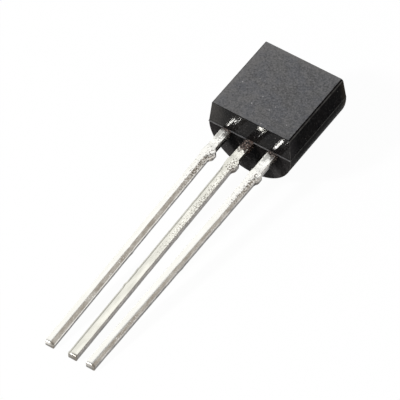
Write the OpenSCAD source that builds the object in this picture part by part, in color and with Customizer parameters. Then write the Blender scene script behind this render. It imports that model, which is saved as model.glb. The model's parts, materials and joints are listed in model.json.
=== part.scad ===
// Small-signal transistor in a three-lead moulded package with a flat face and a round back.
// It lies on its round back with the flat face up: the lead tips and the back's lead end
// touch the ground. X runs across the flat face, the leads run towards -Y.
// Each piece is drawn in the package's own axes and placed once, by as_it_rests():
// x across the flat face, y from the lead end to the top end, z out of the flat face,
// with zero at the middle lead, on the plane where the two mould halves part.

/* [Body] */
// Width of the front half at the parting plane
body_w = 4.47; // [4.2:0.01:4.7]
// Height of the front half at the parting plane
body_h = 4.63; // [4.4:0.01:4.9]
// Depth from the parting plane to the flat face
front_d = 1.19; // [1.05:0.01:1.4]
// Depth of the straight wall between the parting plane and the round back's arc
back_wall = 0.13; // [0.02:0.01:0.2]
// How far the back half stands out past the front half, all round the parting plane
parting_step = 0.01; // [0.01:0.005:0.05]
// Draft of the front half's two side walls
side_draft = 5.4; // [2:0.1:8]
// Draft of the front half's two end walls
end_draft = 4.9; // [2:0.1:8]
// Draft of the back half's two end walls
back_draft = 2; // [1:0.5:5]
// Radius of the flat face's long edge on the collector lead's side
collector_edge_r = 0.04; // [0.02:0.01:0.2]
// Radius of the flat face's long edge on the emitter lead's side
emitter_edge_r = 0.15; // [0.02:0.01:0.2]
// Radius of the two short edges of the flat face
short_edge_r = 0.02; // [0.01:0.01:0.1]
// How far the body sits off the middle lead, towards the collector lead
body_shift = 0.02; // [0:0.01:0.06]

/* [Moulding marks] */
// How far the thin flash stands out of the lead end, along the parting plane
flash_out = 0.04; // [0.01:0.005:0.05]
// Thickness of the flash
flash_t = 0.04; // [0.02:0.005:0.06]
// Diameter of the ejector pin's mark on the round back
ejector_dia = 1.2; // [0.8:0.1:1.4]
// Depth of the ejector pin's mark below the deepest line of the back
ejector_depth = 0.12; // [0.11:0.01:0.2]
// Width of the gate scar on the top end
gate_w = 1.1; // [0.8:0.1:1.6]
// Depth of the gate scar, measured back from the parting plane
gate_d = 0.45; // [0.3:0.05:0.6]
// How far the gate scar stands out of the top end
gate_proud = 0.05; // [0.03:0.01:0.08]

/* [Leads] */
// Distance between neighbouring leads
lead_pitch = 1.27; // [1.2:0.01:1.3]
// Width of a lead
lead_w = 0.45; // [0.38:0.01:0.5]
// Thickness of the lead strip
lead_t = 0.36; // [0.32:0.01:0.45]
// Length of a lead outside the body
lead_l = 14.4; // [12:0.1:16]
// Width of a lead between the body and its stubs
shoulder_w = 0.45; // [0.42:0.01:0.56]
// Distance from the body to the stubs that the cut tie bar leaves
stub_gap = 1.25; // [0.9:0.05:1.5]
// Length of a stub along the lead
stub_l = 0.6; // [0.4:0.02:0.7]
// How far a stub stands out on the left of its lead
stub_left = 0.03; // [0.02:0.01:0.12]
// How far the collector lead's stub stands out on its right
collector_stub = 0.15; // [0.06:0.01:0.2]
// How far the base lead's stub stands out on its right
base_stub = 0.12; // [0.06:0.01:0.2]
// How far the emitter lead's stub stands out on its right
emitter_stub = 0.11; // [0.06:0.01:0.2]
// Chamfer of a lead's cut end
tip_chamfer = 0.05; // [0.03:0.01:0.08]
// Sideways bend of the collector lead's tip
collector_drift = 0.35; // [-0.4:0.01:0.4]
// Sideways bend of the base lead's tip
base_drift = 0.31; // [-0.4:0.01:0.4]
// Sideways bend of the emitter lead's tip
emitter_drift = -0.01; // [-0.4:0.01:0.4]

/* [Inside the body] */
// Width of a lead inside the body
neck_w = 0.38; // [0.34:0.01:0.42]
// Height at which the collector arm turns into the die pad
pad_base = 2.15; // [2:0.05:2.4]
// Width of the die pad
pad_w = 1.9; // [1.7:0.05:2]
// Height of the die pad
pad_h = 1.5; // [1.3:0.05:1.7]
// Width of the head of a wire post
head_w = 0.75; // [0.6:0.05:0.8]
// Height of the head of a wire post
head_h = 0.55; // [0.45:0.05:0.65]
// Height of the top of the base post
base_top = 1.75; // [1.6:0.05:1.85]
// Height of the top of the emitter post
emitter_top = 2.55; // [2.3:0.05:2.8]
// Radius of the locking notches in each lead's neck
notch_r = 0.08; // [0.05:0.01:0.1]
// Height of the locking notches above the body's lead end
notch_up = 0.5; // [0.4:0.05:0.6]
// Side of the square silicon die
die_w = 0.46; // [0.36:0.02:0.56]
// Thickness of the die
die_t = 0.18; // [0.14:0.01:0.25]
// Thickness of the layer that holds the die
attach_t = 0.03; // [0.02:0.005:0.05]
// How far that layer shows round the die
attach_margin = 0.04; // [0.02:0.01:0.06]
// Diameter of a bond wire
wire_dia = 0.04; // [0.03:0.005:0.05]
// Diameter of the ball that joins a wire to the die
ball_dia = 0.1; // [0.08:0.01:0.12]
// Height of a wire's loop above the die
loop_h = 0.3; // [0.2:0.05:0.45]

/* [Hidden] */
$fn = 96;
past = 1;                                       // how far a cutting shape runs past what it cuts

// Body
back_r = body_w / 2 + parting_step;
back_d = back_r + back_wall;                    // to the deepest line of the round back
lead_end = -parting_step;                       // the body's two ends on the parting plane
top_end = body_h + parting_step;
end_lean = back_d * tan(back_draft);
back_low = lead_end + end_lean;                 // the two ends of the back's deepest line
back_high = top_end - end_lean;
gate_root = 0.2;                                // how deep the gate scar starts inside the body
flash_root = 0.2;                               // and how deep the flash does

// Leads
stub_start = lead_end - stub_gap;
stub_steps = 6;                                 // straight pieces in a stub's rounded side
tip_y = lead_end - lead_l;
shoulder_in = 0.1;                              // how deep the wide shoulder starts in the body

// Pieces inside the body
pad_x = -lead_pitch - neck_w / 2 + pad_w / 2;
pad_corner_r = 0.1;
die_y = pad_base + pad_h / 2;
die_top = attach_t + die_t;
bond_out = die_w / 5;                           // distance of a bond from the die's middle
base_bond = [pad_x - bond_out, die_y - bond_out, die_top];
emitter_bond = [pad_x + bond_out, die_y + bond_out, die_top];
base_stitch = [0, base_top - head_h / 2, 0];
emitter_stitch = [lead_pitch, emitter_top - head_h / 2, 0];
ball_h = ball_dia / 3;
wire_sides = 8;
wire_rings = 16;

// The resting turn brings the back's deepest line and the lead tips down to one ground plane
rest_turn = atan((back_d - lead_t) / (back_low - tip_y));
function turned_y(y, z) = y * cos(rest_turn) - z * sin(rest_turn);
function turned_z(y, z) = y * sin(rest_turn) + z * cos(rest_turn);
near_y = turned_y(tip_y, 0);
far_y = max(turned_y(back_high, -back_d), turned_y(top_end + gate_proud, 0));

module as_it_rests() {
    translate([0, -(near_y + far_y) / 2, -turned_z(back_low, -back_d)])
        rotate([rest_turn, 0, 0])
            children();
}

// Half of a mould half's section: parting line on the axis, a wall that leans in, a rounded edge
module drafted_side(width, depth, draft, r) {
    rise = depth - r;
    run = width / 2 - (r + rise * sin(draft)) / cos(draft);
    polygon([
        [0, 0], [width / 2, 0],
        [run + r * cos(draft), rise + r * sin(draft)], [run, depth], [0, depth]
    ]);
    translate([run, rise])
        circle(r);
}
module drafted_section(width, depth, draft, left_r, right_r) {
    drafted_side(width, depth, draft, right_r);
    mirror([1, 0])
        drafted_side(width, depth, draft, left_r);
}

// Half with the flat face: the section across the package and the one along it, crossed
module front_half() {
    intersection() {
        translate([0, body_h + past, 0])
            rotate([90, 0, 0])
                linear_extrude(body_h + 2 * past)
                    drafted_section(body_w, front_d, side_draft, collector_edge_r, emitter_edge_r);
        translate([-body_w, body_h / 2, 0])
            rotate([90, 0, 90])
                linear_extrude(2 * body_w)
                    drafted_section(body_h, front_d, end_draft, short_edge_r, short_edge_r);
    }
}

// Round half: a half cylinder under a short straight wall, cut by two leaning ends
module back_half() {
    length = body_h + 2 * past;
    deep = back_d + past;
    lean = deep * tan(back_draft);
    intersection() {
        union() {
            translate([-back_r, -past, -back_wall])
                cube([2 * back_r, length, back_wall]);
            intersection() {
                translate([0, -past, -back_wall])
                    rotate([-90, 0, 0])
                        cylinder(r = back_r, h = length);
                translate([-2 * back_r, -2 * past, -back_wall - 2 * back_r])
                    cube([4 * back_r, length + 2 * past, 2 * back_r]);
            }
        }
        rotate([90, 0, 90])
            linear_extrude(4 * back_r, center = true)
                polygon([
                    [lead_end, 0], [top_end, 0],
                    [top_end - lean, -deep], [lead_end + lean, -deep]
                ]);
    }
}

// Thin web of moulding compound squeezed out between the leads, where the mould halves meet
module parting_flash() {
    translate([-body_w / 2, lead_end - flash_out, -flash_t])
        cube([body_w, flash_out + flash_root, flash_t]);
}

// What is left where the gate broke off, on the top end beside the parting plane
module gate_scar() {
    translate([-gate_w / 2, top_end - gate_root, -gate_d])
        cube([gate_w, gate_root + gate_proud, gate_d]);
}

// Round recess that the ejector pin leaves in the middle of the back
module ejector_mark() {
    translate([0, body_h / 2, -back_d - past])
        cylinder(d = ejector_dia, h = past + ejector_depth);
}

// Half width of a lead along its stub: a smooth swell, flattened where the tie bar was cut
function stub_half_w(t, out) =
    (shoulder_w + (lead_w - shoulder_w) * t) / 2 + out * min(1, 1.4 * sin(180 * t));

// One edge of a lead outside the body, from the shoulder to the cut tip
function lead_edge(side, out, drift) = concat(
    [[side * shoulder_w / 2, lead_end + shoulder_in]],
    [for (i = [0 : stub_steps])
        [side * stub_half_w(i / stub_steps, out), stub_start - stub_l * i / stub_steps]],
    [
        [side * lead_w / 2 + drift, tip_y + tip_chamfer],
        [side * (lead_w / 2 - tip_chamfer) + drift, tip_y]
    ]
);
function back_to_front(points) = [for (i = [len(points) - 1 : -1 : 0]) points[i]];

// Outline of a lead: the outer part, and a notched neck that locks it in the moulding
module lead_outline(stub, drift, neck_top) {
    polygon(concat(lead_edge(-1, stub_left, drift), back_to_front(lead_edge(1, stub, drift))));
    difference() {
        translate([-neck_w / 2, lead_end])
            square([neck_w, neck_top - lead_end]);
        for (side = [-1, 1])
            translate([side * neck_w / 2, notch_up])
                circle(notch_r);
    }
}

// A strip of the lead frame's thickness, its front face on the parting plane
module strip() {
    translate([0, 0, -lead_t])
        linear_extrude(lead_t)
            children();
}

// Head of a wire post, centred on its lead
module post_head(top) {
    translate([-head_w / 2, top - head_h])
        square([head_w, head_h]);
}

// Plate that carries the die, with rounded corners
module die_pad() {
    inner = [pad_w - 2 * pad_corner_r, pad_h - 2 * pad_corner_r];
    square([inner.x, pad_h], center = true);
    square([pad_w, inner.y], center = true);
    for (sx = [-1, 1], sy = [-1, 1])
        translate([sx * inner.x / 2, sy * inner.y / 2])
            circle(pad_corner_r);
}

module collector_shape() {
    strip() {
        translate([-lead_pitch, 0])
            lead_outline(collector_stub, collector_drift, die_y);
        translate([pad_x, die_y])
            die_pad();
    }
}

module base_shape() {
    strip() {
        lead_outline(base_stub, base_drift, base_top - head_h / 2);
        post_head(base_top);
    }
}

module emitter_shape() {
    strip()
        translate([lead_pitch, 0]) {
            lead_outline(emitter_stub, emitter_drift, emitter_top - head_h / 2);
            post_head(emitter_top);
        }
}

module attach_shape() {
    side = die_w + 2 * attach_margin;
    translate([pad_x - side / 2, die_y - side / 2, 0])
        cube([side, side, attach_t]);
}

module die_shape() {
    translate([pad_x - die_w / 2, die_y - die_w / 2, attach_t])
        cube([die_w, die_w, die_t]);
}

// Middle line of a bond wire: straight up from the die, over, and straight down on the post
function loop_point(a, b, t) =
    a + (b - a) * (1 - cos(180 * t)) / 2 + [0, 0, loop_h * sin(180 * t)];
// Its direction, as [along the ground, up], for rings square to the wire
function loop_rise(a, b, t) =
    let (span = norm([b.x - a.x, b.y - a.y]))
    [span * sin(180 * t) / 2, (b.z - a.z) * sin(180 * t) / 2 + loop_h * cos(180 * t)];
function wire_ring(a, b, t, r, lift) =
    let (
        ground = [b.x - a.x, b.y - a.y, 0] / norm([b.x - a.x, b.y - a.y]),
        rise = loop_rise(a, b, t) / norm(loop_rise(a, b, t)),
        across = [-ground.y, ground.x, 0],
        over = -ground * rise.y + [0, 0, rise.x]
    )
    [for (i = [0 : wire_sides - 1])
        let (turn = 360 * (i + 0.5) / wire_sides)
        loop_point(a, b, t) + [0, 0, lift] + r * (cos(turn) * across + sin(turn) * over)];

// Bond wire: a short ball on the die, then a swept round wire that ends flat on the post
module bond_wire(a, b) {
    ball = [wire_ring(a, b, 0, ball_dia / 2, 0), wire_ring(a, b, 0, ball_dia / 2, ball_h)];
    wire = [for (i = [0 : wire_rings])
        wire_ring(a, b, i / wire_rings, wire_dia / 2, ball_h * (1 - i / wire_rings))];
    rings = concat(ball, wire);
    last = len(rings) - 1;
    polyhedron(
        points = [for (ring = rings) for (p = ring) p],
        faces = concat(
            [[for (i = [0 : wire_sides - 1]) i]],
            [for (k = [0 : last - 1]) for (i = [0 : wire_sides - 1])
                let (j = (i + 1) % wire_sides, here = k * wire_sides, next = here + wire_sides)
                [here + i, next + i, next + j, here + j]],
            [[for (i = [wire_sides - 1 : -1 : 0]) last * wire_sides + i]]
        )
    );
}

// The two mould halves in one, as if nothing lay inside
module moulding() {
    difference() {
        union() {
            front_half();
            back_half();
            parting_flash();
            gate_scar();
        }
        ejector_mark();
    }
}

module moulded_body() {
    color("#2a2a2c")
        as_it_rests()
            difference() {
                translate([-body_shift, 0, 0])
                    moulding();
                collector_shape();
                base_shape();
                emitter_shape();
                attach_shape();
                die_shape();
                bond_wire(base_bond, base_stitch);
                bond_wire(emitter_bond, emitter_stitch);
            }
}

module collector_lead() {
    color("#d8d4ca")
        as_it_rests()
            collector_shape();
}

module base_lead() {
    color("#d8d4ca")
        as_it_rests()
            base_shape();
}

module emitter_lead() {
    color("#d8d4ca")
        as_it_rests()
            emitter_shape();
}

module die_attach() {
    color("#b9b4a8")
        as_it_rests()
            attach_shape();
}

module silicon_die() {
    color("#5d6672")
        as_it_rests()
            die_shape();
}

module base_wire() {
    color("#d9a93a")
        as_it_rests()
            bond_wire(base_bond, base_stitch);
}

module emitter_wire() {
    color("#d9a93a")
        as_it_rests()
            bond_wire(emitter_bond, emitter_stitch);
}

moulded_body();
collector_lead();
base_lead();
emitter_lead();
die_attach();
silicon_die();
base_wire();
emitter_wire();
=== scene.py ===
# A small transistor in a three-lead moulded package, lying on its round back
import json
import math
import bmesh
import bpy
from mathutils import Matrix, Vector, noise


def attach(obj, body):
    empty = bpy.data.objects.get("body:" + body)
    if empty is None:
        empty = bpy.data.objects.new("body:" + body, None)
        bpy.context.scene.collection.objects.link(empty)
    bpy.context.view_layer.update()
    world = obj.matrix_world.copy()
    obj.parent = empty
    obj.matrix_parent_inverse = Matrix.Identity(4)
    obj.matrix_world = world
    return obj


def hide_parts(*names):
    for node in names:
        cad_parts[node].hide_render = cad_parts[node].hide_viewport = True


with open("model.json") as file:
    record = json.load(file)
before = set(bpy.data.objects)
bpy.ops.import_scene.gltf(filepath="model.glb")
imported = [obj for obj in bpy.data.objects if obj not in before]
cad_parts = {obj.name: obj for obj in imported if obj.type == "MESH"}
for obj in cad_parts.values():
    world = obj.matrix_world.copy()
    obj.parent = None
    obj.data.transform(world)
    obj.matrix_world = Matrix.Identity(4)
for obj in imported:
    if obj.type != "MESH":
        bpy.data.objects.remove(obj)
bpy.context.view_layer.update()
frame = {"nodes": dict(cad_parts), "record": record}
cadNodes = frame["nodes"]
mm = 0.001
print("frame loaded:", len(cadNodes), "nodes")

# Pieces are modelled in millimetres in the package's own axes, then laid down in metres:
# x across the flat face, y from the lead end to the top end, z out of the flat face,
# with zero at the middle lead, on the plane where the two mould halves part.

package = {
    "width": 4.47,              # of the front half, at the parting plane
    "height": 4.63,
    "frontDepth": 1.19,
    "backWall": 0.13,           # straight wall beside the round back
    "partingStep": 0.01,
    "sideDraft": 5.4,           # degrees
    "endDraft": 4.9,
    "backDraft": 2.0,
    "longEdges": (0.04, 0.15),  # fillets of the flat face, collector and emitter side
    "shortEdge": 0.02,
    "corner": 0.035,            # fillets of the other edges
    "shift": 0.02,              # off the middle lead, towards the collector side
    "flashOut": 0.04,
    "flashThick": 0.04,
    "flashRound": 0.008,
    "gate": (1.1, 0.45, 0.05),  # width, depth and how far it stands out
    "gateTear": (0.02, 0.06),   # how deep the break is torn, on average and at most
    "ejector": (0.6, 0.12),     # radius and depth
}
backRadius = package["width"] / 2 + package["partingStep"]
backDepth = backRadius + package["backWall"]
leadEnd = -package["partingStep"]
topEnd = package["height"] + package["partingStep"]
sideLean = package["frontDepth"] * math.tan(math.radians(package["sideDraft"]))
endLean = package["frontDepth"] * math.tan(math.radians(package["endDraft"]))
past = 1.0                      # how far a cutting shape runs past what it cuts
bite = 0.2                      # how far a joined piece reaches into the body
hair = 0.001                    # a gap or rim too small to see

flatMount = next(mount for mount in frame["record"]["mounts"] if mount["name"] == "flat_face")
restTurn = math.atan2(-flatMount["axis"][1], flatMount["axis"][2])
flatCentre = Vector((-package["shift"], package["height"] / 2, package["frontDepth"]))
layDown = (Matrix.Translation(flatMount["pos_m"]) @ Matrix.Rotation(restTurn, 4, "X")
           @ Matrix.Scale(mm, 4) @ Matrix.Translation(-flatCentre))


# ---- camera, light and floor

view = {
    "azimuth": 30.93,           # degrees, from the lead end towards the emitter side
    "elevation": 44.205,
    "roll": 4.69,
    "distance": 0.1795,
    "lens": 360,
    "sensor": 36,
    "aim": Vector((0.0002, 0.000404, 0.002)),
}


def directionOf(azimuth, elevation):
    turn, lift = math.radians(azimuth), math.radians(elevation)
    return Vector((math.cos(lift) * math.sin(turn), -math.cos(lift) * math.cos(turn), math.sin(lift)))


def facing(towards):
    return towards.to_track_quat("Z", "Y").to_matrix().to_4x4()


def placeCamera():
    towards = directionOf(view["azimuth"], view["elevation"])
    camera = bpy.data.objects.new("camera", bpy.data.cameras.new("camera"))
    camera.data.lens = view["lens"]
    camera.data.sensor_width = view["sensor"]
    roll = Matrix.Rotation(math.radians(view["roll"]), 4, "Z")
    stand = Matrix.Translation(view["aim"] + towards * view["distance"])
    camera.matrix_world = stand @ facing(towards) @ roll
    bpy.context.scene.collection.objects.link(camera)
    bpy.context.scene.camera = camera


lamps = {
    "key": {"azimuth": -27, "elevation": 35.5, "distance": 0.3, "size": 0.036, "radiance": 222},
    "back": {"azimuth": 232, "elevation": 47, "distance": 0.3, "size": 0.18, "radiance": 0.65},
}


def placeLamp(name, azimuth, elevation, distance, size, radiance):
    light = bpy.data.lights.new(name, "AREA")
    light.shape = "SQUARE"
    light.size = size
    light.energy = radiance * math.pi * size ** 2
    lamp = bpy.data.objects.new(name, light)
    towards = directionOf(azimuth, elevation)
    lamp.matrix_world = Matrix.Translation(towards * distance) @ facing(towards)
    bpy.context.scene.collection.objects.link(lamp)


# ---- shader maths

class Value:                    # a socket that can stand in a formula
    def __init__(self, finish, socket):
        self.finish = finish
        self.socket = socket

    def maths(self, operation, *values):
        return self.finish.node("Math", {"operation": operation}, dict(enumerate(values)))

    def __add__(self, other):
        return self.maths("ADD", self, other)

    def __sub__(self, other):
        return self.maths("SUBTRACT", self, other)

    def __rsub__(self, other):
        return self.maths("SUBTRACT", other, self)

    def __mul__(self, other):
        return self.maths("MULTIPLY", self, other)

    __radd__ = __add__
    __rmul__ = __mul__

    def __abs__(self):
        return self.maths("ABSOLUTE", self)

    def smaller(self, other):
        return self.maths("MINIMUM", self, other)

    def larger(self, other):
        return self.maths("MAXIMUM", self, other)


class Finish:                   # a material or the world, and the nodes in it
    def __init__(self, owner):
        self.owner = owner
        owner.use_nodes = True
        self.tree = owner.node_tree
        self.tree.nodes.clear()

    def node(self, kind, settings=None, inputs=None, output=0):
        made = self.tree.nodes.new("ShaderNode" + kind)
        for name, value in (settings or {}).items():
            setattr(made, name, value)
        for name, value in (inputs or {}).items():
            if isinstance(value, Value):
                self.tree.links.new(value.socket, made.inputs[name])
            else:
                made.inputs[name].default_value = value
        return Value(self, made.outputs[output] if made.outputs else None)

    def place(self):            # package axes, in millimetres
        inward = layDown.inverted()
        metres = self.node("TexCoord", output="Object")
        inputs = {"Vector": metres, "Location": inward.translation, "Rotation": (-restTurn, 0, 0),
                  "Scale": (1 / mm, 1 / mm, 1 / mm)}
        return self.node("Mapping", inputs=inputs)

    def parts(self, vector):
        return [self.node("SeparateXYZ", inputs={0: vector}, output=axis) for axis in "XYZ"]

    def grain(self, place, scale, detail=2, roughness=0.5, shift=0, stretch=(1, 1, 1)):
        inputs = {"Vector": place, "Location": (shift, shift, shift), "Scale": stretch}
        moved = self.node("Mapping", inputs=inputs)
        inputs = {"Vector": moved, "Scale": scale, "Detail": detail, "Roughness": roughness}
        return self.node("TexNoise", inputs=inputs, output="Fac")

    def grit(self, place):      # the moulding's own coarse grain, the same on all its faces
        return self.grain(place, 13, 2, 0.6, shift=6)

    def dust(self, place, scale):       # distance to the nearest grain of dust
        inputs = {"Vector": place, "Scale": scale, "Randomness": 1}
        return self.node("TexVoronoi", inputs=inputs, output="Distance")

    def ramp(self, value, low, high, atLow=0.0, atHigh=1.0):
        inputs = {"Value": value, "From Min": low, "From Max": high,
                  "To Min": atLow, "To Max": atHigh}
        return self.node("MapRange", {"interpolation_type": "SMOOTHSTEP"}, inputs)

    def mix(self, factor, first, second):
        inputs = {0: factor, 6: self.colour(first), 7: self.colour(second)}
        return self.node("Mix", {"data_type": "RGBA"}, inputs, output=2)

    def colour(self, value):
        return value if isinstance(value, Value) else (*value, 1)

    def bump(self, height, distance, normal=None):
        inputs = {"Height": height, "Distance": distance * mm, "Strength": 1}
        if normal:
            inputs["Normal"] = normal
        return self.node("Bump", inputs=inputs)

    def surface(self, **inputs):
        named = {name.replace("_", " "): value for name, value in inputs.items()}
        named["Base Color"] = self.colour(named["Base Color"])
        shader = self.node("BsdfPrincipled", inputs=named)
        self.node("OutputMaterial", inputs={"Surface": shader})
        return self.owner


# ---- floor and world

floor = {
    "size": 0.6,                # half its side
    "colour": (0.9, 0.9, 0.9, 1),
    "ownWhite": 0.965,          # share of plain white that is seen in place of the lit floor
}
sky = {
    "horizon": 1.0,
    "zenith": 0.4,
    "fade": (0.12, 0.4),        # heights between which it darkens
}
white = (1, 1, 1, 1)


def paintFloor():
    finish = Finish(bpy.data.materials.new("paleFloor"))
    diffuse = finish.node("BsdfDiffuse", inputs={"Color": floor["colour"]})
    glow = finish.node("Emission", inputs={"Color": white, "Strength": 1})
    rays = ("Is Camera Ray", "Is Glossy Ray", "Is Transmission Ray")
    seen, mirrored, through = (finish.node("LightPath", output=ray) for ray in rays)
    share = seen.larger(mirrored).larger(through) * floor["ownWhite"]
    mixed = finish.node("MixShader", inputs={0: share, 1: diffuse, 2: glow})
    finish.node("OutputMaterial", inputs={"Surface": mixed})
    return finish.owner


def placeFloor():
    bm = bmesh.new()
    bmesh.ops.create_grid(bm, x_segments=1, y_segments=1, size=floor["size"])
    makeObject("floor", bm, [paintFloor()])


def paintWorld():
    world = bpy.data.worlds.new("studio")
    bpy.context.scene.world = world
    finish = Finish(world)
    height = finish.parts(finish.node("TexCoord", output="Generated"))[2]
    strength = finish.ramp(height, *sky["fade"], sky["horizon"], sky["zenith"])
    background = finish.node("Background", inputs={"Color": white, "Strength": strength})
    finish.node("OutputWorld", inputs={"Surface": background})


# ---- finishes

matte = {                       # the flat face
    "left": (0.097, 0.094, 0.093),
    "right": (0.056, 0.056, 0.057),
    "cool": (0.066, 0.069, 0.080),
    "mottle": (0.106, 0.104, 0.106),
    "paleGrit": (0.135, 0.132, 0.133),
    "darkGrit": (0.036, 0.036, 0.038),
    "gritShare": 0.75,
    "rim": (0.125, 0.12, 0.115),
    "dust": (0.42, 0.41, 0.41),
    "dustShare": 0.8,
    "roughness": (0.52, 0.66),
}


def paintFlat():                # paler to the left, with faint cool patches and a little dust
    finish = Finish(bpy.data.materials.new("epoxyMatte"))
    place = finish.place()
    x, y = finish.parts(place)[:2]
    cloud = finish.grain(place, 0.9, 3, shift=4)
    tone = finish.mix(finish.ramp(x + cloud * 3, -0.7, 3.0), matte["left"], matte["right"])
    patches = finish.ramp(finish.grain(place, 1.1, 3, shift=7), 0.4, 0.62, 0.0, 0.8)
    tone = finish.mix(patches, tone, matte["cool"])
    mottle = finish.grain(place, 7, 4, 0.65, shift=9)
    tone = finish.mix(finish.ramp(mottle, 0.35, 0.65, 0.0, 0.6), tone, matte["mottle"])
    grit = finish.grit(place)
    tone = finish.mix(finish.ramp(grit, 0.5, 0.68, 0.0, matte["gritShare"]), tone, matte["paleGrit"])
    tone = finish.mix(finish.ramp(grit, 0.5, 0.32, 0.0, matte["gritShare"]), tone, matte["darkGrit"])
    fromSide = x + (package["shift"] + package["width"] / 2 - sideLean)
    fromTop = package["height"] - endLean - y
    rim = finish.ramp(fromSide.smaller(fromTop), 0.05, 0.35, 0.4, 0.0)
    tone = finish.mix(rim, tone, matte["rim"])
    specks = finish.ramp(finish.dust(place, 2.3), 0.045, 0.1, matte["dustShare"], 0.0)
    settled = finish.ramp(finish.grain(place, 1.9, 2, shift=12), 0.46, 0.56)
    tone = finish.mix(specks * settled, tone, matte["dust"])
    fine = finish.grain(place, 28, 3, 0.6)
    normal = finish.bump(fine, 0.004, finish.bump(mottle, 0.008))
    roughness = finish.ramp(fine, 0.3, 0.7, *matte["roughness"])
    return finish.surface(Base_Color=tone, Roughness=roughness, Normal=normal)


skins = {
    "back": {                   # the round back, the sides and the top end
        "name": "epoxySkin", "shine": 0.003, "roughness": (0.3, 0.42), "haze": (0.006, 0.005, 0.0055),
    },
    "end": {                    # the front half's lead end, which mirrors the leads
        "name": "epoxyEnd", "shine": 0.08, "roughness": (0.05, 0.11), "haze": (0.04, 0.037, 0.034),
    },
}
skinTones = {
    "plain": (0.0018, 0.0017, 0.002),
    "patch": (0.0045, 0.0038, 0.0036),
    # foot: painted sheen on the back's lead end
    "foot": (0.044, 0.041, 0.041),
    "top": (0.034, 0.027, 0.019),
    "heel": (0.03, 0.028, 0.029),
    "crown": (0.026, 0.024, 0.024),
    "paleEdges": (0.08, 0.076, 0.072),
    "grit": (0.05, 0.048, 0.047),
    "dust": (0.2, 0.18, 0.17),
    "flash": ((0.022, 0.02, 0.02), (0.088, 0.082, 0.081)),
}


def paintSkin(name, shine, roughness, haze):    # darker than the flat face, with rubbed corners
    finish = Finish(bpy.data.materials.new(name))
    place = finish.place()
    nx, ny = finish.parts(finish.node("TexCoord", output="Normal"))[:2]
    x, y, z = finish.parts(place)
    patches = finish.ramp(finish.grain(place, 1.3, 3, shift=2), 0.4, 0.65)
    tone = finish.mix(patches, skinTones["plain"], skinTones["patch"])
    film = finish.ramp(finish.grain(place, 9, 4, 0.7), 0.35, 0.65, 0.4, 1)
    film *= finish.ramp(x, -1.2, -2.0, 0.02, 1)
    tone = finish.mix(film, tone, haze)
    blotches = finish.ramp(finish.grain(place, 6, 4, 0.7, shift=8), 0.3, 0.6, 0.5, 1)
    # painted sheen: the back's lead end is painted paler away from its middle, towards its round edge
    foot = finish.ramp(x * x + z * z, 1.2, 4.4) * finish.ramp(z, -0.3, -1.4, 0.3, 0.8)
    foot *= finish.ramp(ny, -0.6, -0.9) * (z.smaller(0) * -9).smaller(1)    # the back's lead end
    tone = finish.mix(foot * blotches, tone, skinTones["foot"])
    emitterSide = finish.ramp(nx, 0.6, 0.8) * blotches
    tone = finish.mix(finish.ramp(y, 4.1, 4.65) * emitterSide, tone, skinTones["top"])
    tone = finish.mix(finish.ramp(y, 0.8, 0.1) * emitterSide * 0.6, tone, skinTones["heel"])
    crown = finish.ramp(ny, 0.6, 0.85) * blotches
    tone = finish.mix(crown * 0.8, tone, skinTones["crown"])
    paleEdges = finish.ramp(finish.grain(place, 5, 3), 0.3, 0.6, 0.4, 1)
    corner = finish.ramp(abs(nx * ny), 0.12, 0.4) * paleEdges
    # paler along the emitter-side fillet and along the seam below the flash
    ridge = finish.ramp(abs(nx), 0.58, 0.82) * finish.ramp(abs(nx), 0.97, 0.9)
    ridge *= finish.ramp(abs(ny), 0.5, 0.2) * finish.ramp(z, 0.5, 1.0)
    seam = finish.ramp(abs(z + 0.045), 0.06, 0.02) * finish.ramp(nx, 0.7, 0.9)
    tone = finish.mix(corner.larger((ridge + seam * 0.5) * paleEdges), tone, skinTones["paleEdges"])
    grit = finish.grit(place)
    tone = finish.mix(finish.ramp(grit, 0.5, 0.72, 0.0, 0.4), tone, skinTones["grit"])
    specks = finish.ramp(finish.dust(place, 2.6), 0.04, 0.09, 0.35, 0.0)
    tone = finish.mix(specks, tone, skinTones["dust"])
    fine = finish.grain(place, 16, 3, 0.6)
    orange = grit * finish.ramp(z, -0.02, -0.1, 0, 1)       # orange peel, on the round back only
    normal = finish.bump(fine, 0.0015, finish.bump(orange, 0.012))
    uneven = finish.ramp(fine, 0.3, 0.7, *roughness)
    return finish.surface(Base_Color=tone, Roughness=uneven, Normal=normal, Specular_IOR_Level=shine)


def paintFlash():
    finish = Finish(bpy.data.materials.new("epoxyFlash"))
    blotches = finish.ramp(finish.grain(finish.place(), 6, 3), 0.35, 0.65)
    tone = finish.mix(blotches, *skinTones["flash"])
    return finish.surface(Base_Color=tone, Roughness=0.45)


tin = {                         # what all three leads share
    "drawn": ((0.66, 0.585, 0.49), (1.0, 0.94, 0.84)),      # painted reflection: dark taupe and pale streaks on the right bevel
    # torn: the lower band of the sides, partly painted shade
    "torn": (0.03, 0.026, 0.022),
    "speck": (0.12, 0.1, 0.078),
    "paintedGlitter": (0.96, 0.94, 0.9),
    "scratch": (0.05, 0.042, 0.036),
    "grime": (0.01, 0.008, 0.007),
    "crumbs": (0.3, 0.24, 0.21),
    "tip": (0.16, 0.14, 0.115),
    "roughness": (0.1, 0.14),   # clean and soiled
}


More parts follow.
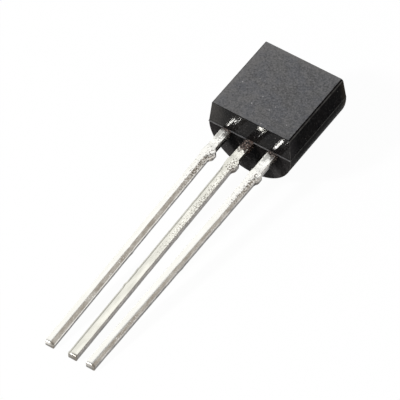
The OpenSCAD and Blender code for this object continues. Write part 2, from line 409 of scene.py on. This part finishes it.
def paintTin(lead):             # tin plate, bare at the sheared sides and soiled towards the body; the sides are painted darker with shade
    finish = Finish(bpy.data.materials.new(lead["finish"]))
    place = finish.place()
    x, y, z = finish.parts(place)
    nx, ny, nz = finish.parts(finish.node("TexCoord", output="Normal"))
    bend = ((stubEnd - y) * (lead["drift"] / (stubEnd - tipY))).larger(0)
    across = x - bend - lead["pin"] * strip["pitch"]
    outside = finish.ramp(y, 0.3, 0.1)

    # plate on the front, scored and torn metal on the sides, painted darker with shade by a different
    # amount on each lead
    clouds = finish.grain(place, 2.2, 3, 0.6, stretch=(1, 0.3, 1))
    plated = finish.mix(finish.ramp(clouds + across * 0.6, 0.3, 0.7), lead["dull"], lead["bright"])
    shoulder = finish.ramp(nx, 0.15, 0.4)
    drawn = finish.ramp(finish.grain(place, 6, 4, 0.7, stretch=(1, 0.3, 1), shift=14), 0.33, 0.67)
    # painted reflection: the right bevel gets dark taupe and pale streaks
    plated = finish.mix(shoulder, plated, finish.mix(drawn, *tin["drawn"]))
    fractureAndShade = finish.ramp(z + finish.grain(place, 5, 2) * 0.06, -0.14, -0.19)
    torn = finish.mix(drawn, tin["torn"], lead["fractureAndShade"])
    shearedAndShade = finish.mix(fractureAndShade, finish.mix(drawn, lead["scoredAndShade"], lead["burnishAndShade"]), torn)
    cut = finish.ramp(abs(nx), 0.7, 0.9).larger(finish.ramp(abs(ny), 0.75, 0.95) * 0.8)
    tone = finish.mix(cut, plated, shearedAndShade)

    # dark specks, and white dots painted in as glitter highlights
    near = finish.ramp(y, lead["soiled"], lead["soiled"] + 3) * outside
    dense = near * finish.ramp(y, -1.1, -1.5, 0.3, 1) * finish.ramp(across, -0.1, 0.08, 0.15, 1)
    clump = finish.ramp(finish.grain(place, 2.5, 2, shift=5), 0.38, 0.58)
    speckle = finish.grain(place, 13, 2, 0.55, shift=3)
    speck = finish.ramp(speckle + dense * (lead["specks"] + clump * 0.08), 0.65, 0.68)
    speck *= (near * 8).smaller(1)
    tone = finish.mix(speck * finish.ramp(y, -5, -2, 0.6, 0.9), tone, tin["speck"])
    # painted highlights: white glitter dots, made diffuse, near the root and in patches on the right
    # bevel
    patchy = finish.ramp(finish.grain(place, 1.1, 3, 0.6, shift=13), 0.5, 0.6) * shoulder
    paintedGlitter = finish.ramp(speckle, 0.42, 0.36) * dense.larger(patchy) * finish.ramp(z, -0.16, -0.1)
    tone = finish.mix(paintedGlitter, tone, tin["paintedGlitter"])

    # scratches and resin at the root
    curl = abs(finish.grain(place, 9, 2, 0.5, shift=6) - 0.5)
    scratch = finish.ramp(curl, 0.12, 0.085) * finish.ramp(y, -0.6, -0.35)
    scratch *= finish.ramp(across, -0.08, 0.06) * outside
    tone = finish.mix(scratch * 0.9, tone, tin["scratch"])
    ragged = finish.grain(place, 7, 3, 0.65)
    dirty = finish.ramp(y + ragged * lead["smear"], -0.16, 0.04) * outside
    film = finish.ramp(finish.grain(place, 9, 3, 0.65), 0.48, 0.6)
    grime = finish.mix(film, tin["grime"], lead["resin"])
    crumbs = finish.ramp(finish.grain(place, 13, 2, 0.5, shift=11), 0.57, 0.64)
    grime = finish.mix(crumbs, grime, tin["crumbs"])
    tone = finish.mix(dirty, tone, grime)

    # smooth strips and fine lines that catch the lamp, on an otherwise chalky shoulder
    glint = 0
    for left, right, front, rear in lead["glints"]:
        patch = finish.ramp(across, left, left + 0.02) * finish.ramp(across, right, right - 0.02)
        patch *= finish.ramp(y, front, front + 0.12) * finish.ramp(y, rear, rear - 0.12)
        glint = patch.larger(glint)
    lines = finish.grain(place, 11, 2, 0.5, stretch=(1, 0.25, 1))
    hatch = finish.ramp(lines, lead["hatch"], lead["hatch"] + 0.04)
    hatch *= finish.ramp(y, -1.25, -1.1) * finish.ramp(y, -0.14, -0.3)
    uneven = 1 - glint.larger(hatch)
    chalky = finish.ramp(y, -1.5, -0.9) * uneven * finish.ramp(nz, 0.7, 0.9) * outside
    lumps = finish.grain(place, 5, 3, 0.55, stretch=(1, 0.4, 1)) * (near * 0.6 + 0.2) * uneven
    normal = finish.bump(speckle * near * uneven, 0.003, finish.bump(lumps, 0.003))

    end = finish.ramp(y, tipY + 0.16, tipY + 0.06)
    tone = finish.mix(end * finish.ramp(across, -0.1, 0.2, 0.1, 0.75), tone, tin["tip"])
    roughness = finish.ramp(near + cut, 0, 1, *tin["roughness"])
    roughness = roughness + chalky * 0.6 - glint * 0.03 + end * 0.3
    metallic = 1 - dirty.larger(speck * 0.4).larger(scratch).larger(chalky)
    rim = finish.ramp(nx, -0.12, -0.35) * finish.ramp(nz, 0.15, 0.4) * lead["paleRim"]
    pale = (glint * 0.55).larger(shoulder * 0.2).larger(paintedGlitter).larger(rim)
    metallic = metallic.smaller(1 - pale)
    return finish.surface(Base_Color=tone, Metallic=metallic, Roughness=roughness, Normal=normal)


inside = {                      # darker and paler tones of the pieces in the moulding
    "paste": ((0.42, 0.4, 0.36), (0.74, 0.72, 0.67)),
    "sawn": ((0.16, 0.17, 0.19), (0.26, 0.27, 0.29)),
    "polished": (0.11, 0.13, 0.2),
    "gold": ((0.86, 0.6, 0.22), (0.96, 0.74, 0.36)),
}


def paintPaste():
    finish = Finish(bpy.data.materials.new("silverPaste"))
    flakes = finish.grain(finish.place(), 60, 3, 0.7)
    tone = finish.mix(finish.ramp(flakes, 0.35, 0.65), *inside["paste"])
    normal = finish.bump(flakes, 0.003)
    return finish.surface(Base_Color=tone, Metallic=0.7, Roughness=0.5, Normal=normal)


def paintSilicon():             # polished on top, paler where the wafer was sawn
    finish = Finish(bpy.data.materials.new("silicon"))
    nz = finish.parts(finish.node("TexCoord", output="Normal"))[2]
    sawn = finish.grain(finish.place(), 40, 3, 0.6, stretch=(1, 1, 6))
    wall = finish.mix(sawn, *inside["sawn"])
    top = finish.ramp(nz, 0.5, 0.8)
    tone = finish.mix(top, wall, inside["polished"])
    roughness = finish.ramp(top, 0, 1, 0.45, 0.12)
    return finish.surface(Base_Color=tone, Metallic=0.6, Roughness=roughness)


def paintGold():
    finish = Finish(bpy.data.materials.new("goldWire"))
    drawn = finish.grain(finish.place(), 50, 2, 0.5)
    tone = finish.mix(drawn, *inside["gold"])
    roughness = finish.ramp(drawn, 0.3, 0.7, 0.16, 0.28)
    return finish.surface(Base_Color=tone, Metallic=1, Roughness=roughness)


# ---- making pieces

def makeObject(name, bm, materials):
    mesh = bpy.data.meshes.new(name)
    bm.to_mesh(mesh)
    bm.free()
    for material in materials:
        mesh.materials.append(material)
    made = bpy.data.objects.new(name, mesh)
    bpy.context.scene.collection.objects.link(made)
    return made


def verticesIn(geometry):
    return [item for item in geometry if isinstance(item, bmesh.types.BMVert)]


def edgesIn(geometry):
    return [item for item in geometry if isinstance(item, bmesh.types.BMEdge)]


def cutEnd(bm, point, outward):         # slices off what lies past a plane and closes it
    geometry = bm.verts[:] + bm.edges[:] + bm.faces[:]
    cut = bmesh.ops.bisect_plane(bm, geom=geometry, plane_co=point, plane_no=outward,
                                 clear_outer=True)
    rim = edgesIn(cut["geom_cut"])
    bmesh.ops.holes_fill(bm, edges=rim, sides=0)
    return rim


def roundEdges(bm, edges, width, segments):
    bmesh.ops.bevel(bm, geom=edges, offset=width, offset_type="OFFSET", segments=segments,
                    profile=0.5, affect="EDGES", clamp_overlap=True, material=-1)


def sweepAlong(bm, section, start, end):        # a closed bar from a face across the package
    bmesh.ops.translate(bm, verts=section.verts, vec=(0, start, 0))
    swept = bmesh.ops.extrude_face_region(bm, geom=[section], use_keep_orig=True)
    bmesh.ops.translate(bm, verts=verticesIn(swept["geom"]), vec=(0, end - start, 0))
    bmesh.ops.recalc_face_normals(bm, faces=bm.faces[:])


def block(low, high):
    bm = bmesh.new()
    low, high = Vector(low), Vector(high)
    bmesh.ops.create_cube(bm, size=1)
    bmesh.ops.scale(bm, verts=bm.verts, vec=high - low)
    bmesh.ops.translate(bm, verts=bm.verts, vec=(low + high) / 2)
    return bm


def combine(made, tool, operation):
    change = made.modifiers.new(operation, "BOOLEAN")
    change.operation = operation
    change.solver = "MANIFOLD"
    change.object = tool
    graph = bpy.context.evaluated_depsgraph_get()
    result = bpy.data.meshes.new_from_object(made.evaluated_get(graph))
    made.modifiers.clear()
    made.data = result
    bpy.data.objects.remove(tool)


def finishPiece(made, node, angle=40):
    made.data.transform(layDown)
    for face in made.data.polygons:
        face.use_smooth = True
    made.data.set_sharp_from_angle(angle=math.radians(angle))
    weighted = made.modifiers.new("flatFaces", "WEIGHTED_NORMAL")
    weighted.keep_sharp = True
    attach(made, "root")
    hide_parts(node)
    print("made", made.name, len(made.data.polygons), "faces")


# ---- moulded body

steps = {                       # segments of the curves
    "longEdge": 10,
    "shortEdge": 5,
    "corner": 4,
    "flash": 2,
    "back": 72,
    "ejector": 96,
    "gate": 11,
}
offPlane = 0.01                 # edges nearer than this to the parting plane stay sharp


def setback(radius, draft):     # from a drafted wall's edge to where its fillet starts
    return radius / math.tan(math.radians(45 + draft / 2))


def frontHalf():
    bm = bmesh.new()
    foot, depth = package["width"] / 2, package["frontDepth"]
    corners = [(-foot, 0), (foot, 0), (foot - sideLean, depth), (sideLean - foot, depth)]
    section = bm.faces.new([bm.verts.new((x, 0, z)) for x, z in corners])
    sweepAlong(bm, section, -past, package["height"] + past)
    for side, radius in zip((-1, 1), package["longEdges"]):
        ridge = [edge for edge in bm.edges if all(
            vert.co.z > depth / 2 and vert.co.x * side > foot * 0.9 for vert in edge.verts)]
        roundEdges(bm, ridge, setback(radius, package["sideDraft"]), steps["longEdge"])
    draft = math.radians(package["endDraft"])
    for point, side in ((0, -1), (package["height"], 1)):
        rim = cutEnd(bm, (0, point, 0), (0, side * math.cos(draft), math.sin(draft)))
        rounded = [edge for edge in rim if max(vert.co.z for vert in edge.verts) > offPlane]
        width = setback(package["shortEdge"], package["endDraft"])
        roundEdges(bm, rounded, width, steps["shortEdge"])
    return bm


def backHalf():
    bm = bmesh.new()
    centre = Vector((0, 0, -package["backWall"]))
    start = bm.verts.new(centre - Vector((backRadius, 0, 0)))
    bmesh.ops.spin(bm, geom=[start], cent=centre, axis=(0, -1, 0), angle=math.pi, steps=steps["back"])
    ends = [vert for vert in bm.verts if len(vert.link_edges) == 1]
    rim = [bm.verts.new((vert.co.x, 0, 0)) for vert in ends]
    for low, high in zip(ends, rim):
        bm.edges.new((low, high))
    bm.edges.new(rim)
    section = bmesh.ops.contextual_create(bm, geom=bm.edges[:])["faces"][0]
    sweepAlong(bm, section, leadEnd - past, topEnd + past)
    draft = math.radians(package["backDraft"])
    for point, side in ((leadEnd, -1), (topEnd, 1)):
        rim = cutEnd(bm, (0, point, 0), (0, side * math.cos(draft), -math.sin(draft)))
        rounded = [edge for edge in rim if min(vert.co.z for vert in edge.verts) < -offPlane]
        roundEdges(bm, rounded, package["corner"], steps["corner"])
    return bm


def gateScar():                 # broken off: its outer face is torn
    wide, deep, proud = package["gate"]
    middling, most = package["gateTear"]
    bm = block((-wide / 2, topEnd - bite, -deep), (wide / 2, topEnd + proud, -hair))
    outer = [face for face in bm.faces if face.normal.y > 0.9]
    edges = list({edge for face in outer for edge in face.edges})
    bmesh.ops.subdivide_edges(bm, edges=edges, cuts=steps["gate"], use_grid_fill=True)
    for vert in bm.verts:
        fromEdge = min(wide / 2 - abs(vert.co.x), -vert.co.z, vert.co.z + deep)
        if vert.co.y > topEnd and fromEdge > hair:
            torn = noise.fractal(vert.co * 6, 0.7, 2, 3) * 0.05
            vert.co.y -= max(0, min(most, middling + torn))
    return bm


def ejectorPin():
    radius, deep = package["ejector"]
    bm = bmesh.new()
    bmesh.ops.create_cone(bm, cap_ends=True, segments=steps["ejector"], radius1=radius,
                          radius2=radius, depth=2 * past)
    bmesh.ops.translate(bm, verts=bm.verts, vec=(0, package["height"] / 2, deep - backDepth - past))
    return bm


def flashWeb(slot):             # what crept out between the mould halves at the lead end
    foot = package["width"] / 2
    low = (-foot, leadEnd - package["flashOut"], -package["flashThick"])
    bm = block(low, (foot, leadEnd + bite, -hair))
    roundEdges(bm, bm.edges[:], package["flashRound"], steps["flash"])
    for face in bm.faces:
        face.material_index = slot
    return bm


def makeBody():
    paints = [paintSkin(**skins["back"]), paintFlat(), paintFlash(), paintSkin(**skins["end"])]
    flat, flash, end = 1, 2, 3  # where they are in that list
    made = makeObject("mouldedBody", backHalf(), paints)
    combine(made, makeObject("front", frontHalf(), paints), "UNION")
    combine(made, makeObject("flash", flashWeb(flash), paints), "UNION")
    combine(made, makeObject("gate", gateScar(), paints), "UNION")
    for face in made.data.polygons:
        crest = face.normal.x > 0 and face.normal.z > 0.95 and abs(face.normal.y) < 0.02
        if face.normal.z > 0.999 or crest:      # the fillet on the emitter side starts matte too
            face.material_index = flat
        if face.normal.y < -0.9 and face.center.z > 0:
            face.material_index = end
    combine(made, makeObject("ejector", ejectorPin(), paints), "DIFFERENCE")
    made.data.transform(Matrix.Translation((-package["shift"], 0, 0)))
    combine(made, leadsInside(), "DIFFERENCE")
    finishPiece(made, "moulded_body")


# ---- leads

strip = {
    "thick": 0.36,
    "width": 0.45,
    "pitch": 1.27,
    "length": 14.4,
    "shoulderWidth": 0.45,      # between the body and the stubs
    "stubGap": 1.25,            # from the body to the stubs of the cut tie bar
    "stubLength": 0.6,
    "stubLeft": 0.03,           # how far the stubs stand out on their left
    "tipRound": 0.045,
    "edgeRound": 0.014,
    "neckWidth": 0.38,          # inside the body
    "headWidth": 0.75,          # of the wire posts
    "notch": (0.5, 0.08),       # height above the lead end and radius
    "reach": 0.1,               # how far the outer width runs into the body
    "cutBelow": 0.3,            # how far the shape that cuts the body starts outside it
    "step": 0.08,               # between the rings of a lead's skin
    "ease": 0.005,              # how much of its length a lead takes to change its width at once
    "fillRun": 0.3,             # how far past the stubs the filled bevels run out
    "wave": 0.01,               # how uneven the edges are
    "burrLength": 0.12,
    "cornerSteps": 4,           # per quarter turn, of the notches and the rounded corners
}
# the burnish, scored and fracture tones of each lead's sides are partly painted shade, set lead by
# lead
leads = {                       # left, right: bevels of the front edges, across and down
    "collector": {
        "pin": -1, "drift": 0.35, "stub": 0.15, "left": (0.03, 0.03), "right": (0.16, 0.10),
        "finish": "collectorTin", "dull": (0.93, 0.92, 0.865), "bright": (0.99, 0.98, 0.94),
        "burnishAndShade": (0.98, 0.95, 0.89), "scoredAndShade": (0.7, 0.67, 0.62), "fractureAndShade": (0.2, 0.19, 0.175),
        "soiled": -5.6, "smear": 0.26, "resin": (0.09, 0.07, 0.06), "specks": 0.055, "paleRim": 0.5,
        "glints": [(-0.21, -0.03, -0.86, -0.06), (0.02, 0.071, -1.15, -0.3),
                   (0.115, 0.165, -1.05, -0.3)],            # left, right, front and rear
        "hatch": 0.6,                                       # the lower, the more fine lines
        "burrs": {"left": [], "right": [(8.1, 0.02)]},      # distance from the body and height
    },
    "base": {
        "pin": 0, "drift": 0.31, "stub": 0.12, "left": (0.12, 0.053), "right": (0.004, 0.004),
        "head": (1.2, 1.75),                                # of its post inside the body
        "finish": "baseTin", "dull": (0.74, 0.73, 0.655), "bright": (0.95, 0.935, 0.85),
        "burnishAndShade": (0.36, 0.33, 0.295), "scoredAndShade": (0.13, 0.115, 0.1), "fractureAndShade": (0.2, 0.18, 0.16),
        "soiled": -8.8, "smear": 1.3, "resin": (0.09, 0.055, 0.043), "specks": 0.068, "paleRim": 0,
        "glints": [(-0.19, 0.07, -1.2, -0.76), (0.13, 0.2, -0.95, -0.35)],
        "hatch": 0.64,
        "burrs": {"left": [(4.4, 0.015), (8.9, 0.02), (9.9, 0.035)], "right": [(6.3, 0.01)]},
    },
    "emitter": {
        "pin": 1, "drift": -0.01, "stub": 0.11, "left": (0.03, 0.03), "right": (0.115, 0.09),
        "head": (2.0, 2.55),
        "finish": "emitterTin", "dull": (0.93, 0.92, 0.865), "bright": (0.99, 0.98, 0.94),
        "burnishAndShade": (0.62, 0.59, 0.55), "scoredAndShade": (0.3, 0.28, 0.255), "fractureAndShade": (0.2, 0.19, 0.175),
        "soiled": -5.0, "smear": 0.4, "resin": (0.09, 0.07, 0.06), "specks": 0.065, "paleRim": 0.9,
        "glints": [(-0.18, 0.0, -1.0, -0.06)],
        "hatch": 0.62,
        "burrs": {"left": [(2.7, 0.02), (3.4, 0.03)], "right": [(4.6, 0.012), (7.6, 0.012)]},
    },
}
pad = {"foot": 2.15, "width": 1.9, "height": 1.5, "corner": 0.1}
stubStart = leadEnd - strip["stubGap"]
stubEnd = stubStart - strip["stubLength"]
tipY = leadEnd - strip["length"]


def halfWidth(y, stub):         # of a lead outside the body, with a stub this far out
    if y >= stubStart:
        return strip["shoulderWidth"] / 2
    if y <= stubEnd:
        return strip["width"] / 2
    t = (stubStart - y) / strip["stubLength"]
    plain = strip["shoulderWidth"] + (strip["width"] - strip["shoulderWidth"]) * t
    return plain / 2 + stub * min(1, 1.4 * math.sin(math.pi * t))


def burr(lead, side, y):        # how far an edge stands out of its line: slight waves and a few burrs
    wave = strip["wave"] * min(0, noise.noise(Vector((len(side), y * 1.3, lead["pin"] * 9))))
    burrs = (out * math.exp(-((leadEnd - y - place) / strip["burrLength"]) ** 2)
             for place, out in lead["burrs"][side])
    return wave + sum(burrs)


def outerRings(lead):           # (y, left edge, right edge) from the tip to just inside the body
    x = lead["pin"] * strip["pitch"]
    foot, top = tipY + strip["tipRound"], leadEnd + strip["reach"]
    count = round((top - foot) / strip["step"])
    rings = []
    for i in range(count + 1):
        y = foot + (top - foot) * i / count
        drift = lead["drift"] * max(0, (stubEnd - y) / (stubEnd - tipY))
        left = x + drift - halfWidth(y, strip["stubLeft"]) - burr(lead, "left", y)
        right = x + drift + halfWidth(y, lead["stub"]) + burr(lead, "right", y)
        rings.append((y, left, right))
    return rings


def turns(whole, count):        # angles in radians, from 0 to the whole turn
    return [whole * i / count for i in range(count + 1)]


def innerRings(lead):           # the notched neck, and the pad or head that it carries
    x, half = lead["pin"] * strip["pitch"], strip["neckWidth"] / 2
    notchY, notchR = strip["notch"]
    ease, cornerSteps = strip["ease"], strip["cornerSteps"]
    rings = [(leadEnd + strip["reach"] + ease, x - half, x + half)]
    for turn in turns(math.pi, 2 * cornerSteps):
        inset = notchR * math.sin(turn)
        rings.append((notchY - notchR * math.cos(turn), x - half + inset, x + half - inset))
    if "head" in lead:
        foot, top = lead["head"]
        wide = strip["headWidth"] / 2
        rings += [(foot, x - half, x + half), (foot + ease, x - wide, x + wide)]
        return rings + [(top, x - wide, x + wide)]
    left, right, corner = x - half, x - half + pad["width"], pad["corner"]
    foot, top = pad["foot"], pad["foot"] + pad["height"]
    rings.append((foot, left, x + half))
    for turn in turns(math.pi / 2, cornerSteps):
        y = foot + ease + corner * (1 - math.cos(turn))
        rings.append((y, left, right - corner * (1 - math.sin(turn))))
    for turn in turns(math.pi / 2, cornerSteps):
        inset = corner * (1 - math.cos(turn))
        rings.append((top - corner * (1 - math.sin(turn)), left + inset, right - inset))
    return rings


def roundTip(bm, cap):          # the cap shrinks as it moves out
    size = Vector((strip["width"], 0, strip["thick"]))
    radius = strip["tipRound"]
    stops = turns(math.pi / 2, strip["cornerSteps"])
    for turn, after in zip(stops, stops[1:]):
        inset, further = radius * (1 - math.cos(turn)), radius * (1 - math.cos(after))
        rise = radius * (math.sin(after) - math.sin(turn))
        cap = bmesh.ops.extrude_discrete_faces(bm, faces=[cap])["faces"][0]
        factor = [(side - 2 * further) / (side - 2 * inset) if side else 1 for side in size]
        middle = Matrix.Translation(-cap.calc_center_bounds())
        bmesh.ops.scale(bm, verts=cap.verts, vec=factor, space=middle)
        bmesh.ops.translate(bm, verts=cap.verts, vec=(0, -rise, 0))


def leadMesh(lead):
    bm = bmesh.new()
    half, thick = strip["width"] / 2, strip["thick"]
    leftOut, leftDown = lead["left"]
    rightOut, rightDown = lead["right"]
    corners = [(-half, -thick), (half, -thick), (half, -rightDown), (half - rightOut, 0),
               (leftOut - half, 0), (-half, -leftDown)]
    section = bm.faces.new([bm.verts.new((x, 0, z)) for x, z in corners])
    bmesh.ops.bevel(bm, geom=section.verts[:], offset=strip["edgeRound"], offset_type="OFFSET",
                    segments=3, profile=0.5, affect="VERTICES", material=-1)
    own = bm.verts.layers.float_vector.new("section")
    for vert in bm.verts:
        vert[own] = vert.co
    cap = bm.faces[:][0]
    ring, fresh = cap.edges[:], cap.verts[:]
    for y, left, right in outerRings(lead) + innerRings(lead):
        full = max(0, min(1, (y - stubEnd + strip["fillRun"]) / (stubStart - stubEnd)))
        for vert in fresh:      # full is 1 at the shoulders, where the bevels are filled
            x, z = vert[own].xz
            fill = rightDown * max(0, x - half + rightOut) / rightOut
            fill += leftDown * max(0, leftOut - half - x) / leftOut
            edge = left + half if x < 0 else right - half
            vert.co = (x + edge, y, z + full * fill * (z > -thick / 2))
        last = ring
        made = bmesh.ops.extrude_edge_only(bm, edges=ring)["geom"]
        ring, fresh = edgesIn(made), verticesIn(made)
    bmesh.ops.delete(bm, geom=fresh, context="VERTS")
    bmesh.ops.contextual_create(bm, geom=last)
    roundTip(bm, cap)
    bmesh.ops.remove_doubles(bm, verts=bm.verts, dist=1e-5)
    bmesh.ops.recalc_face_normals(bm, faces=bm.faces)
    return bm


def leadsInside():              # the leads' upper ends as one cutting shape
    bm = bmesh.new()
    for lead in leads.values():
        mesh = bpy.data.meshes.new("upperEnd")
        leadMesh(lead).to_mesh(mesh)
        bm.from_mesh(mesh)
        bpy.data.meshes.remove(mesh)
    cutEnd(bm, (0, leadEnd - strip["cutBelow"], 0), (0, -1, 0))
    return makeObject("upperEnds", bm, [])


def makeLeads():
    for name, lead in leads.items():
        made = makeObject(name + "Lead", leadMesh(lead), [paintTin(lead)])
        finishPiece(made, name + "_lead", 50)


def paintInside():
    gold = paintGold()
    paints = {"die_attach": paintPaste(), "silicon_die": paintSilicon(),
              "base_wire": gold, "emitter_wire": gold}
    for name, paint in paints.items():
        cadNodes[name].data.materials.clear()
        cadNodes[name].data.materials.append(paint)


bpy.context.scene.view_settings.view_transform = "Standard"
placeCamera()
for lampName, lamp in lamps.items():
    placeLamp(lampName, **lamp)
placeFloor()
paintWorld()
print("camera, light and floor placed")
makeBody()
makeLeads()
paintInside()
